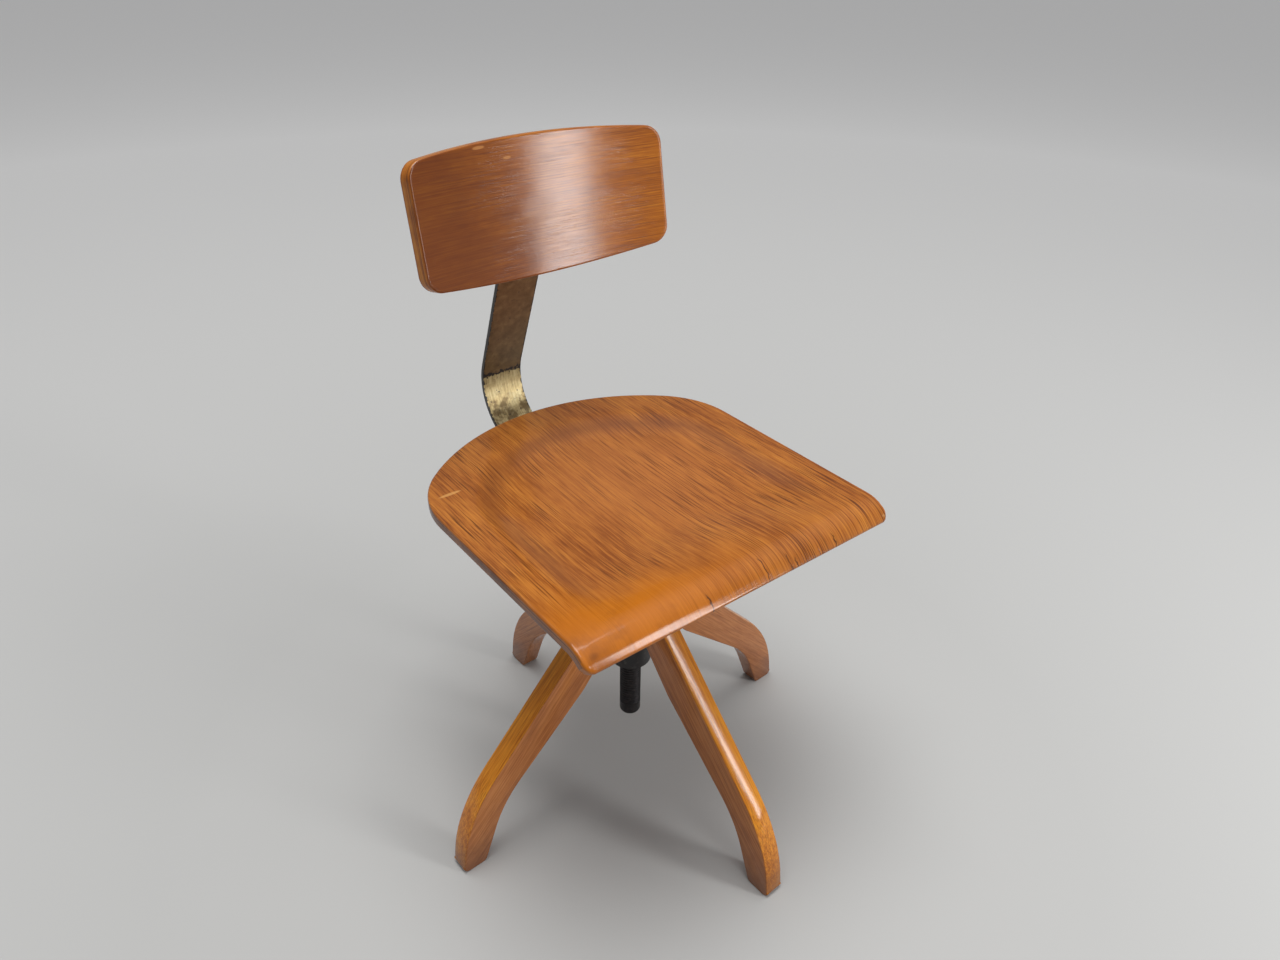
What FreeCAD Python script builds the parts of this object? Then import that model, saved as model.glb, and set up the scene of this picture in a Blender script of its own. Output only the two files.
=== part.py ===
import FreeCAD, Part
import os
import Sketcher
from FreeCAD import Placement, Rotation, Vector

# Wooden swivel chair, millimetres. +Z up, floor at z = 0, the spindle's axis is x = y = 0.
# The seat faces -Y. Four legs stand round the spindle, turned a little from the seat.

os.makedirs("parts", exist_ok=True)
doc = FreeCAD.newDocument("swivel_chair")

# Driving sizes
SIZES = {
    # legs: radius from the spindle's axis and height above the floor
    "base_turn": 2.5,
    "leg_width": 25.0,
    "foot_radius": 270.0,
    "foot_depth": 32.0,
    "knee_outer_radius": 259.0,
    "knee_outer_height": 82.0,
    "knee_inner_radius": 208.0,
    "knee_inner_height": 79.0,
    "throat_radius": 84.0,
    "throat_height": 189.0,
    "root_bottom": 257.0,
    "root_top": 324.0,
    "knee_outer_round": 130.0,
    "knee_inner_round": 70.0,
    "throat_round": 60.0,
    "leg_edge_round": 3.0,
    # hub and its bolts
    "hub_wall": 7.0,
    "hub_flat_rise": 1.0,
    "hub_corner": 6.8,
    "hub_bottom": 192.0,
    "pad_margin": 3.0,
    "hub_rim": 2.0,
    "bolt_radius": 4.0,
    "bolt_head_width": 13.0,
    "bolt_head_height": 5.5,
    "bolt_engagement": 5.0,
    "spotface_radius": 9.0,
    "spotface_margin": 0.5,
    "leg_washer_thickness": 1.6,
    "lower_bolt_height": 270.0,
    "upper_bolt_height": 297.0,
    "lower_bolt_seat": 66.0,
    "upper_bolt_seat": 40.0,
    # swivel nut
    "thrust_washer_thickness": 2.5,
    "nut_wall": 5.45,
    "nut_body_length": 46.0,
    "nut_flange_overhang": 1.0,
    "nut_flange_thickness": 7.0,
    "nut_tail_wall": 1.25,
    "nut_tail_proud": 2.0,
    "ring_width": 10.7,
    "ring_thickness": 4.0,
    "ring_screw_radius": 1.4,
    # spindle
    "spindle_radius": 13.5,
    "spindle_bottom": 94.0,
    "spindle_tip_round": 6.0,
    # clearances
    "running_gap": 0.05,
    "axial_gap": 0.3,
    "fit_gap": 0.05,
    # carrier under the seat
    "plate_thickness": 6.0,
    "arm_width": 46.0,
    "arm_side": 120.0,
    "arm_front": 110.0,
    "arm_back": 165.0,
    "arm_round": 12.0,
    "bar_side_margin": 15.0,
    "boss_wall": 9.5,
    "boss_height": 26.0,
    "pin_radius": 3.0,
    "pin_proud": 1.5,
    "block_thickness": 6.0,
    "block_margin": 14.0,
    "glue_line": 0.2,
    "seat_screw_radius": 2.5,
    "seat_screw_head": 5.0,
    "seat_screw_head_height": 2.5,
    "seat_screw_inset": 14.0,
    "seat_screw_bite": 9.0,
    # seat
    "seat_height": 443.0,
    "seat_thickness": 14.0,
    "seat_half_width": 204.0,
    "seat_back": 217.0,
    "seat_front": 186.0,
    "seat_back_arc": 250.0,
    "seat_back_corner": 110.0,
    "seat_front_corner": 24.0,
    "fall_angle": 49.0,
    "fall_length": 24.0,
    "fall_round": 40.0,
    "dish_depth": 12.0,
    "dish_half_width": 162.0,
    "dish_centre": 8.0,
    "cap_overlap": 1.0,
    # backrest
    "rest_width": 310.0,
    "rest_height": 126.0,
    "rest_thickness": 15.0,
    "rest_bow": 11.0,
    "rest_sag": 20.0,
    "rest_recline": 10.0,
    "rest_forward": 51.0,
    "rest_lift": 275.5,
    "rest_corner": 20.0,
    "rest_edge_round": 4.5,
    # spring bar
    "bar_width": 56.0,
    "bar_thickness": 5.0,
    "bar_lean": 22.0,
    "bar_bend": 64.0,
    "bar_upper_bend": 40.0,
    "bar_start": 30.0,
    "bar_contact": 6.0,
    "bar_end": 57.0,
    "bar_bolt_radius": 4.0,
    "bar_bolt_head_width": 13.0,
    "bar_bolt_head_height": 5.5,
    "bar_bolt_first": 62.0,
    "bar_bolt_spacing": 70.0,
    "bar_washer_radius": 8.5,
    "bar_washer_thickness": 1.6,
    "rest_screw_radius": 2.2,
    "rest_screw_head": 4.6,
    "rest_screw_head_height": 2.4,
    "rest_screw_bite": 10.0,
    "rest_screw_low": 25.0,
    "rest_screw_high": 46.0,
    "rest_screw_side": 17.0,
}

# Sizes worked out from the driving ones, in the order in which they depend on each other
DERIVED = {
    "hub_top": "root_top + pad_margin + hub_rim",
    "bore_radius": "spindle_radius + running_gap",
    "nut_radius": "bore_radius + nut_wall",
    "nut_tail_radius": "bore_radius + nut_tail_wall",
    "hub_radius": "nut_radius + hub_wall",
    "hub_flat": "hub_radius + hub_flat_rise",
    "hub_corner_radius": "hub_flat + hub_corner",
    "nut_flange_radius": "hub_radius + nut_flange_overhang",
    "ring_radius": "nut_tail_radius + ring_width",
    "boss_radius": "spindle_radius + boss_wall",
    "flange_bottom": "hub_top + thrust_washer_thickness + axial_gap",
    "nut_shoulder": "hub_top - nut_body_length",
    "ring_top": "hub_bottom - axial_gap",
    "nut_tail_bottom": "ring_top - ring_thickness - nut_tail_proud",
    "pan_under": "seat_height - dish_depth - seat_thickness",
    "plate_top": "pan_under - block_thickness",
    "plate_bottom": "plate_top - plate_thickness",
    "bar_level": "plate_bottom - bar_thickness / 2",
    "dish_radius": "(dish_half_width * dish_half_width + dish_depth * dish_depth) / (2 * dish_depth)",
    "dish_level": "seat_height - dish_depth + dish_radius",
    "rest_depth": "seat_back - rest_forward",
    "rest_centre": "seat_height + rest_lift",
    "rest_radius": "(rest_width * rest_width / 4 + rest_sag * rest_sag) / (2 * rest_sag)",
    "bow_radius": "(rest_width * rest_width / 4 + rest_bow * rest_bow) / (2 * rest_bow)",
}

sheet = doc.addObject("Spreadsheet::Sheet", "Sizes")
row = 0
for alias, value in SIZES.items():
    row += 1
    sheet.set("A%d" % row, alias)
    sheet.set("B%d" % row, str(value))
    sheet.setAlias("B%d" % row, alias)
doc.recompute()
for alias, formula in DERIVED.items():
    row += 1
    sheet.set("A%d" % row, alias)
    sheet.set("B%d" % row, "=" + formula)
    sheet.setAlias("B%d" % row, alias)
    doc.recompute()

NODES = []
X_AXIS = Vector(1, 0, 0)
Z_AXIS = Vector(0, 0, 1)
ALONG_X = Rotation(Vector(0, 1, 0), 90)
ALONG_Y = Rotation(Vector(1, 0, 0), -90)


def size(text):
    """The value of a formula written with the sheet's names."""
    return float(sheet.evalExpression(text))


def bound(text):
    """A formula for setExpression: every name of the sheet gets the sheet's prefix."""
    words = sorted(list(SIZES) + list(DERIVED), key=len, reverse=True)
    out = ""
    index = 0
    while index < len(text):
        word = next((w for w in words if text.startswith(w, index)), None)
        out += "Sizes." + word if word else text[index]
        index += len(word) if word else 1
    return out


def bind(thing, prop, text):
    thing.setExpression(prop, bound(text))


def place(thing, at, turn=None):
    """Put an object at a point of three formulas, with a fixed rotation."""
    thing.Placement = Placement(Vector(0, 0, 0), turn or Rotation())
    for axis, text in zip("xyz", at):
        if text != "0":
            bind(thing, "Placement.Base." + axis, text)
    return thing


def cylinder(name, radius, height, at=("0", "0", "0"), turn=None):
    thing = doc.addObject("Part::Cylinder", name)
    bind(thing, "Radius", radius)
    bind(thing, "Height", height)
    return place(thing, at, turn)


def hexagon(name, width, height, at=("0", "0", "0"), turn=None):
    """A six-sided head, width across its flats."""
    thing = doc.addObject("Part::Prism", name)
    thing.Polygon = 6
    bind(thing, "Circumradius", "(%s) / sqrt(3)" % width)
    bind(thing, "Height", height)
    return place(thing, at, turn)


def sphere(name, radius, at):
    thing = doc.addObject("Part::Sphere", name)
    bind(thing, "Radius", radius)
    return place(thing, at)


def box(name, sizes, at):
    thing = doc.addObject("Part::Box", name)
    for prop, text in zip(("Length", "Width", "Height"), sizes):
        bind(thing, prop, text)
    return place(thing, at)


def fuse(name, shapes):
    thing = doc.addObject("Part::MultiFuse", name)
    thing.Shapes = shapes
    return thing


def common(name, shapes):
    thing = doc.addObject("Part::MultiCommon", name)
    thing.Shapes = shapes
    return thing


def cut(name, base, tool):
    thing = doc.addObject("Part::Cut", name)
    thing.Base = base
    thing.Tool = tool
    return thing


def moved(name, base, placement):
    """The same shape again under another placement, as one more piece of a group."""
    thing = doc.addObject("App::Link", name)
    thing.LinkedObject = base
    thing.LinkTransform = False
    thing.Placement = placement
    return thing


def fillet(name, base, radius, chosen):
    """Round the edges for which chosen(edge) is true."""
    doc.recompute()
    thing = doc.addObject("Part::Fillet", name)
    thing.Base = base
    edges = enumerate(base.Shape.Edges, start=1)
    thing.Edges = [(number, radius, radius) for number, edge in edges if chosen(edge)]
    return thing


def node(name, thing):
    """Keep an object as a sub-part under its own label."""
    thing.Label = name
    NODES.append(thing)
    return thing


def origin_plane(body, role):
    return next(item for item in body.Origin.OriginFeatures if item.Role == role)


def outline(body, name, role, corners):
    """A closed sketch of straight sides, each corner bound to two formulas."""
    sketch = body.newObject("Sketcher::SketchObject", name)
    sketch.AttachmentSupport = (origin_plane(body, role), [""])
    sketch.MapMode = "FlatFace"
    points = [Vector(size(a), size(b), 0) for a, b in corners]
    count = len(points)
    for index in range(count):
        sketch.addGeometry(Part.LineSegment(points[index], points[(index + 1) % count]), False)
    for index in range(count):
        sketch.addConstraint(Sketcher.Constraint("Coincident", index, 2, (index + 1) % count, 1))
    for index, formulas in enumerate(corners):
        for kind, axis, text in zip(("DistanceX", "DistanceY"), "xy", formulas):
            label = "corner%d%s" % (index, axis)
            number = sketch.addConstraint(Sketcher.Constraint(kind, -1, 1, index, 1, size(text)))
            sketch.renameConstraint(number, label)
            sketch.setExpression("Constraints." + label, bound(text))
    return sketch


def extruded(name, role, corners, length):
    """A body made by padding an outline to both sides of its plane."""
    body = doc.addObject("PartDesign::Body", name)
    sketch = outline(body, name + "_outline", role, corners)
    pad = body.newObject("PartDesign::Pad", name + "_pad")
    pad.Profile = sketch
    pad.Midplane = True
    bind(pad, "Length", length)
    sketch.Visibility = False
    doc.recompute()
    return body, pad


def rounded(body, name, feature, radius, chosen):
    """Round the edges of a body's last feature for which chosen(edge) is true."""
    doc.recompute()
    names = ["Edge%d" % n for n, edge in enumerate(feature.Shape.Edges, start=1) if chosen(edge)]
    step = body.newObject("PartDesign::Fillet", name)
    step.Base = (feature, names)
    bind(step, "Radius", radius)
    doc.recompute()
    return step


def middle(edge):
    return edge.valueAt((edge.FirstParameter + edge.LastParameter) / 2)


def direction(edge):
    step = edge.lastVertex().Point - edge.firstVertex().Point
    return step.normalize() if step.Length > 0 else step


def near(edge, first, second, axes):
    """Whether an edge's middle lies at two given coordinates."""
    point = middle(edge)
    values = {"x": point.x, "y": point.y, "z": point.z}
    return abs(values[axes[0]] - first) < 0.5 and abs(values[axes[1]] - second) < 0.5


def quarter(number):
    """The turn of one leg about the spindle."""
    return Rotation(Z_AXIS, size("base_turn") + 90.0 * number)


# Base: four curved legs with eased edges, bolted to the flats of a steel hub
def radial_tools(name, radius_text, pieces):
    """Cylinders along a leg's own X, each from one radius to another at one height."""
    tools = []
    for index, (start, end, height) in enumerate(pieces):
        tools.append(cylinder("%s_%d" % (name, index), radius_text, "%s - (%s)" % (end, start),
                              (start, "0", height), ALONG_X))
    return tools


BOLT_ROWS = [("lower_bolt_seat", "lower_bolt_height"), ("upper_bolt_seat", "upper_bolt_height")]


def make_leg(number):
    name = "leg_%d_solid" % number
    corners = [
        ("foot_radius", "0"),
        ("knee_outer_radius", "knee_outer_height"),
        ("hub_flat", "root_top"),
        ("hub_flat", "root_bottom"),
        ("throat_radius", "throat_height"),
        ("knee_inner_radius", "knee_inner_height"),
        ("foot_radius - foot_depth", "0"),
    ]
    body, last = extruded(name, "XZ_Plane", corners, "leg_width")
    bends = [
        ("knee_outer_radius", "knee_outer_height", "knee_outer_round"),
        ("knee_inner_radius", "knee_inner_height", "knee_inner_round"),
        ("throat_radius", "throat_height", "throat_round"),
    ]
    for radius, height, bend in bends:
        x, z = size(radius), size(height)
        last = rounded(body, "%s_%s" % (name, bend), last, bend, lambda e: near(e, x, z, "xz"))
    half = size("leg_width") / 2

    def long_edge(edge):
        point = middle(edge)
        return abs(abs(point.y) - half) < 0.1 and point.z > 1 and point.x > size("hub_flat") + 1

    rounded(body, name + "_edges", last, "leg_edge_round", long_edge)
    shanks = [("hub_flat - 1", "foot_radius", height) for seat, height in BOLT_ROWS]
    faces = [(seat, "foot_radius", height) for seat, height in BOLT_ROWS]
    tools = radial_tools(name + "_hole", "bolt_radius + fit_gap", shanks)
    tools += radial_tools(name + "_spot", "spotface_radius", faces)
    holes = fuse(name + "_holes", tools)
    leg = cut("leg_%d_cut" % number, body, holes)
    leg.Placement = Placement(Vector(0, 0, 0), quarter(number))
    return leg


LEG_NAMES = ["leg_right", "leg_rear", "leg_left", "leg_front"]
for number, leg_name in enumerate(LEG_NAMES):
    node(leg_name, make_leg(number))


def ring_of_four(name, base):
    """Four copies of a shape, one at each leg."""
    doc.recompute()
    shapes = [moved("%s_%d" % (name, n), base, Placement(Vector(0, 0, 0), quarter(n))) for n in range(4)]
    return fuse(name, shapes)


def make_hub():
    height = "hub_top - hub_bottom"
    tube = cylinder("hub_tube", "hub_radius", height, ("0", "0", "hub_bottom"))
    pad_sizes = ("2 * hub_flat", "2 * hub_flat", "root_top - root_bottom + 2 * pad_margin")
    pad = box("hub_pad", pad_sizes, ("-hub_flat", "-hub_flat", "root_bottom - pad_margin"))
    corner = cylinder("hub_corner", "hub_corner_radius", height, ("0", "0", "hub_bottom"))
    pads = common("hub_pads", [pad, corner])
    solid = fuse("hub_solid", [tube, pads])
    upper = cylinder("hub_upper_bore", "nut_radius + running_gap", "nut_body_length + 1",
                     ("0", "0", "nut_shoulder"))
    lower = cylinder("hub_lower_bore", "nut_tail_radius + running_gap", height, ("0", "0", "hub_bottom"))
    taps = []
    for index, (seat, level) in enumerate(BOLT_ROWS):
        for n in range(4):
            tap = cylinder("hub_tap_%d_%d" % (index, n), "bolt_radius + fit_gap", "hub_radius")
            turn = Rotation(Z_AXIS, 90.0 * n)
            start = size("hub_flat - bolt_engagement - axial_gap")
            tap.Placement = Placement(turn.multVec(Vector(start, 0, size(level))), turn * ALONG_X)
            taps.append(tap)
    hub = cut("hub_cut", solid, fuse("hub_tools", [upper, lower] + taps))
    hub.Placement = Placement(Vector(0, 0, 0), quarter(0))
    return hub


node("hub", make_hub())


def make_leg_bolts():
    parts = []
    for index, (seat, level) in enumerate(BOLT_ROWS):
        shank = cylinder("leg_bolt_shank_%d" % index, "bolt_radius",
                         "%s + leg_washer_thickness - hub_flat + bolt_engagement" % seat,
                         ("hub_flat - bolt_engagement", "0", level), ALONG_X)
        head = hexagon("leg_bolt_head_%d" % index, "bolt_head_width", "bolt_head_height",
                       ("%s + leg_washer_thickness" % seat, "0", level), ALONG_X)
        parts.append(fuse("leg_bolt_%d" % index, [shank, head]))
    return ring_of_four("leg_bolt_ring", fuse("leg_bolt_pair", parts))


def make_leg_washers():
    parts = []
    for index, (seat, level) in enumerate(BOLT_ROWS):
        disc = cylinder("leg_washer_disc_%d" % index, "spotface_radius - spotface_margin", "leg_washer_thickness",
                        (seat, "0", level), ALONG_X)
        hole = cylinder("leg_washer_hole_%d" % index, "bolt_radius + fit_gap", "leg_washer_thickness",
                        (seat, "0", level), ALONG_X)
        parts.append(cut("leg_washer_%d" % index, disc, hole))
    return ring_of_four("leg_washer_ring", fuse("leg_washer_pair", parts))


node("leg_bolts", make_leg_bolts())
node("leg_washers", make_leg_washers())


def ring(name, outer, inner, height, level):
    disc = cylinder(name + "_disc", outer, height, ("0", "0", level))
    hole = cylinder(name + "_hole", inner, height, ("0", "0", level))
    return cut(name + "_ring", disc, hole)


node("thrust_washer", ring("thrust_washer", "nut_flange_radius", "nut_radius + 2 * running_gap",
                           "thrust_washer_thickness", "hub_top"))


# Swivel: the nut turns in the hub's bore and is held below by a ring
def make_nut():
    flange = cylinder("nut_flange", "nut_flange_radius", "nut_flange_thickness", ("0", "0", "flange_bottom"))
    barrel = cylinder("nut_barrel", "nut_radius", "flange_bottom - nut_shoulder - axial_gap",
                      ("0", "0", "nut_shoulder + axial_gap"))
    tail = cylinder("nut_tail", "nut_tail_radius", "flange_bottom - nut_tail_bottom",
                    ("0", "0", "nut_tail_bottom"))
    bore = cylinder("nut_bore", "bore_radius", "flange_bottom + nut_flange_thickness - nut_tail_bottom",
                    ("0", "0", "nut_tail_bottom"))
    return cut("nut_cut", fuse("nut_solid", [flange, barrel, tail]), bore)


node("swivel_nut", make_nut())


def make_retaining_ring():
    plain = ring("keeper", "ring_radius", "nut_tail_radius", "ring_thickness", "ring_top - ring_thickness")
    tap = cylinder("keeper_tap", "ring_screw_radius", "ring_radius",
                   ("nut_tail_radius", "0", "ring_top - ring_thickness / 2"), ALONG_X)
    return cut("keeper_cut", plain, tap)


node("retaining_ring", make_retaining_ring())
node("ring_screw", cylinder("ring_screw_solid", "ring_screw_radius - fit_gap",
                            "ring_radius - nut_tail_radius - fit_gap",
                            ("nut_tail_radius + fit_gap", "0", "ring_top - ring_thickness / 2"), ALONG_X))


# Column: the screw spindle with the carrier pinned to its head
def make_spindle():
    body = doc.addObject("PartDesign::Body", "spindle_body")
    sketch = body.newObject("Sketcher::SketchObject", "spindle_section")
    sketch.AttachmentSupport = (origin_plane(body, "XY_Plane"), [""])
    sketch.MapMode = "FlatFace"
    sketch.addGeometry(Part.Circle(Vector(0, 0, 0), Z_AXIS, size("spindle_radius")), False)
    sketch.addConstraint(Sketcher.Constraint("Coincident", 0, 3, -1, 1))
    number = sketch.addConstraint(Sketcher.Constraint("Radius", 0, size("spindle_radius")))
    sketch.renameConstraint(number, "radius")
    bind(sketch, "Constraints.radius", "spindle_radius")
    pad = body.newObject("PartDesign::Pad", "spindle_pad")
    pad.Profile = sketch
    bind(pad, "Length", "plate_top - spindle_bottom")
    doc.recompute()
    rounded(body, "spindle_tip", pad, "spindle_tip_round", lambda e: middle(e).z < 0.1 and e.Length > 1
            and abs(direction(e).z) < 0.5)
    place(body, ("0", "0", "spindle_bottom"))
    hole = cylinder("spindle_pin_hole", "pin_radius + fit_gap", "4 * spindle_radius",
                    ("-2 * spindle_radius", "0", "plate_bottom - boss_height / 2"), ALONG_X)
    return cut("spindle_cut", body, hole)


node("spindle", make_spindle())

SCREW_SPOTS = [
    ("arm_side - seat_screw_inset", "0"),
    ("-(arm_side - seat_screw_inset)", "0"),
    ("0", "-(arm_front - seat_screw_inset)"),
    ("(bar_width + bar_side_margin) / 2", "arm_back - seat_screw_inset"),
    ("-(bar_width + bar_side_margin) / 2", "arm_back - seat_screw_inset"),
]
BAR_BOLT_SPOTS = ["bar_bolt_first", "bar_bolt_first + bar_bolt_spacing"]


def upright_set(name, radius, height, level, spots):
    return [cylinder("%s_%d" % (name, n), radius, height, (x, y, level)) for n, (x, y) in enumerate(spots)]


def make_carrier():
    across = box("carrier_across", ("2 * arm_side", "arm_width", "plate_thickness"),
                 ("-arm_side", "-arm_width / 2", "plate_bottom"))
    ahead = box("carrier_ahead", ("arm_width", "arm_front", "plate_thickness"),
                ("-arm_width / 2", "-arm_front", "plate_bottom"))
    behind = box("carrier_behind", ("bar_width + 2 * bar_side_margin", "arm_back", "plate_thickness"),
                 ("-(bar_width / 2 + bar_side_margin)", "0", "plate_bottom"))

    def arm_corner(edge):
        point = middle(edge)
        upright = abs(direction(edge).z) > 0.9
        return upright and max(abs(point.x), abs(point.y)) > size("arm_width")

    arms = fuse("carrier_arms", [across, ahead, behind])
    cross = fillet("carrier_cross", arms, size("arm_round"), arm_corner)
    boss = cylinder("carrier_boss", "boss_radius", "boss_height", ("0", "0", "plate_bottom - boss_height"))
    bore = cylinder("carrier_bore", "spindle_radius + fit_gap", "boss_height + plate_thickness",
                    ("0", "0", "plate_bottom - boss_height"))
    pin = cylinder("carrier_pin_hole", "pin_radius + fit_gap", "4 * boss_radius",
                   ("-2 * boss_radius", "0", "plate_bottom - boss_height / 2"), ALONG_X)
    holes = upright_set("carrier_screw_hole", "seat_screw_radius + fit_gap", "plate_thickness",
                        "plate_bottom", SCREW_SPOTS)
    bolts = [("0", y) for y in BAR_BOLT_SPOTS]
    holes += upright_set("carrier_bolt_hole", "bar_bolt_radius + fit_gap", "plate_thickness",
                         "plate_bottom", bolts)
    tools = fuse("carrier_tools", [bore, pin] + holes)
    return cut("carrier_cut", fuse("carrier_solid", [cross, boss]), tools)


node("carrier", make_carrier())
node("carrier_pin", cylinder("carrier_pin_solid", "pin_radius", "2 * (boss_radius + pin_proud)",
                             ("-(boss_radius + pin_proud)", "0", "plate_bottom - boss_height / 2"), ALONG_X))


# Seat: a dished plywood shell, D-shaped in plan, with a falling front edge
def dish(name, extra):
    return sphere(name, "dish_radius + " + extra, ("0", "dish_centre", "dish_level"))


def make_seat_plan():
    """An upright prism with the seat's outline."""
    full = box("seat_box", ("2 * seat_half_width", "2 * seat_back_arc", "seat_height"),
               ("-seat_half_width", "-2 * seat_back_arc + seat_back", "0"))
    arc = cylinder("seat_arc", "seat_back_arc", "seat_height * 2", ("0", "seat_back - seat_back_arc", "0"))
    front = box("seat_front_box", ("4 * seat_half_width", "4 * seat_half_width", "seat_height * 2"),
                ("-2 * seat_half_width", "-(seat_front + fall_length)", "0"))
    plan = common("seat_plan", [full, arc, front])

    def upright(edge):
        return abs(direction(edge).z) > 0.99 and abs(abs(middle(edge).x) - size("seat_half_width")) < 0.5

    back = fillet("seat_plan_back", plan, size("seat_back_corner"),
                  lambda e: upright(e) and middle(e).y > 0)
    return fillet("seat_plan_front", back, size("seat_front_corner"),
                  lambda e: upright(e) and middle(e).y < 0)


def make_seat():
    slope_y = "cos(fall_angle * 1deg)"
    slope_z = "sin(fall_angle * 1deg)"
    half = "tan(fall_angle * 0.5deg)"
    under = "seat_height - seat_thickness"
    corners = [
        ("seat_back * 1.2", "seat_height"),
        ("-seat_front", "seat_height"),
        ("-seat_front - fall_length * " + slope_y, "seat_height - fall_length * " + slope_z),
        ("-seat_front - fall_length * %s + seat_thickness * %s" % (slope_y, slope_z),
         "seat_height - fall_length * %s - seat_thickness * %s" % (slope_z, slope_y)),
        ("-seat_front + seat_thickness * " + half, under),
        ("seat_back * 1.2", under),
    ]
    body, last = extruded("seat_sheet", "YZ_Plane", corners, "2.2 * seat_half_width")
    front = -size("seat_front")
    top = size("seat_height")
    last = rounded(body, "seat_fall", last, "fall_round", lambda e: near(e, front, top, "yz"))
    inner = (size(corners[4][0]), size(under))
    rounded(body, "seat_fall_under", last, "fall_round - seat_thickness",
            lambda e: near(e, inner[0], inner[1], "yz"))
    slab = box("seat_cap_box", ("2 * seat_half_width", "2 * seat_back", "dish_depth + cap_overlap"),
               ("-seat_half_width", "-seat_back", "pan_under"))
    cap = common("seat_cap", [dish("seat_dish_under", "seat_thickness"), slab])
    blank = cut("seat_blank", fuse("seat_shell", [body, cap]), dish("seat_dish", "0"))
    return common("seat_raw", [blank, make_seat_plan()])


def make_seat_holes():
    depth = "block_thickness + seat_screw_bite"
    return fuse("seat_holes", upright_set("seat_hole", "seat_screw_radius + fit_gap", depth, "plate_top",
                                          SCREW_SPOTS))


def make_seat_block():
    """A wooden block between the carrier and the dished underside of the seat."""
    wide = "arm_side + block_margin"
    slab = box("block_box", ("2 * (%s)" % wide, "arm_front + arm_back + 2 * block_margin",
                             "block_thickness + dish_depth - glue_line"),
               ("-(%s)" % wide, "-(arm_front + block_margin)", "plate_top"))
    bowl = cut("block_bowl", slab, dish("block_dish", "seat_thickness + glue_line"))
    holes = upright_set("block_hole", "seat_screw_radius + fit_gap", "dish_depth * 3", "plate_top",
                        SCREW_SPOTS)
    trim = cylinder("block_plan", "arm_back + block_margin", "seat_height", ("0", "0", "0"))
    shaped = common("block_shape", [bowl, trim])
    return cut("block_cut", shaped, fuse("block_holes", holes))


node("seat", cut("seat_cut", make_seat(), make_seat_holes()))
node("seat_block", make_seat_block())


def make_seat_screws():
    parts = []
    reach = "plate_thickness + block_thickness + seat_screw_bite - 1"
    for n, (x, y) in enumerate(SCREW_SPOTS):
        shank = cylinder("seat_screw_shank_%d" % n, "seat_screw_radius", reach, (x, y, "plate_bottom"))
        head = cylinder("seat_screw_head_%d" % n, "seat_screw_head", "seat_screw_head_height",
                        (x, y, "plate_bottom - seat_screw_head_height"))
        parts += [shank, head]
    return fuse("seat_screw_set", parts)


# Spring bar: a flat steel strip from under the seat to the back of the backrest
def tilted(along, out):
    """A point of the bar's plane, from steps along and out of the reclined backrest."""
    y = "rest_depth + (%s) * sin(rest_recline * 1deg) + (%s) * cos(rest_recline * 1deg)" % (along, out)
    z = "rest_centre + (%s) * cos(rest_recline * 1deg) - (%s) * sin(rest_recline * 1deg)" % (along, out)
    return y, z


def make_bar_corners():
    lean = "bar_lean * 1deg"
    turn = "(90deg + bar_lean * 1deg) / 2"
    upper = "(bar_lean + rest_recline) * 0.5deg"
    near_y, near_z = tilted("bar_contact", "rest_thickness")
    step = "bar_thickness * tan(%s)" % upper
    far_y, far_z = tilted("bar_contact + " + step, "rest_thickness + bar_thickness")
    level_top = "bar_level + bar_thickness / 2"
    level_low = "bar_level - bar_thickness / 2"
    inner_y = "(%s) + ((%s) - (%s)) * tan(%s)" % (near_y, near_z, level_top, lean)
    outer_y = "(%s) + bar_thickness * tan(%s)" % (inner_y, turn)
    end_near = tilted("bar_end", "rest_thickness")
    end_far = tilted("bar_end", "rest_thickness + bar_thickness")
    return [
        ("bar_start", level_top),
        (inner_y, level_top),
        (near_y, near_z),
        end_near,
        end_far,
        (far_y, far_z),
        (outer_y, level_low),
        ("bar_start", level_low),
    ]


def rest_tools(name, radius, length, start):
    """Cylinders square to the backrest at its four screws, from one depth outwards."""
    tools = []
    recline = size("rest_recline")
    turn = Rotation(X_AXIS, -recline) * ALONG_Y
    for n, side in enumerate(("-rest_screw_side", "rest_screw_side")):
        for m, along in enumerate(("rest_screw_low", "rest_screw_high")):
            y, z = tilted(along, start)
            tools.append(cylinder("%s_%d_%d" % (name, n, m), radius, length, (side, y, z), turn))
    return tools


def make_bar():
    corners = make_bar_corners()
    body, last = extruded("bar_body", "YZ_Plane", corners, "bar_width")
    bends = [
        (1, "bar_bend - bar_thickness / 2", "inner"),
        (6, "bar_bend + bar_thickness / 2", "outer"),
        (2, "bar_upper_bend + bar_thickness / 2", "upper_inner"),
        (5, "bar_upper_bend - bar_thickness / 2", "upper_outer"),
    ]
    for index, radius, name in bends:
        y, z = size(corners[index][0]), size(corners[index][1])
        last = rounded(body, "bar_" + name, last, radius, lambda e: near(e, y, z, "yz"))
    holes = rest_tools("bar_screw_hole", "rest_screw_radius + fit_gap", "bar_thickness + 2",
                       "rest_thickness - 1")
    bolts = [("0", y) for y in BAR_BOLT_SPOTS]
    holes += upright_set("bar_bolt_hole", "bar_bolt_radius + fit_gap", "bar_thickness * 2",
                         "bar_level - bar_thickness", bolts)
    end = size("bar_end")
    strip = fillet("bar_strip", body, size("arm_round"), lambda e: abs(abs(middle(e).x)
                   - size("bar_width") / 2) < 0.1 and is_bar_end(e, end))
    return cut("bar_cut", strip, fuse("bar_holes", holes))


def is_bar_end(edge, end):
    """Whether an edge crosses the bar's thickness at its upper end."""
    y, z = tilted(str(end), "rest_thickness + bar_thickness / 2")
    point = middle(edge)
    return abs(point.y - size(y)) < 0.5 and abs(point.z - size(z)) < 0.5


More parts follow.
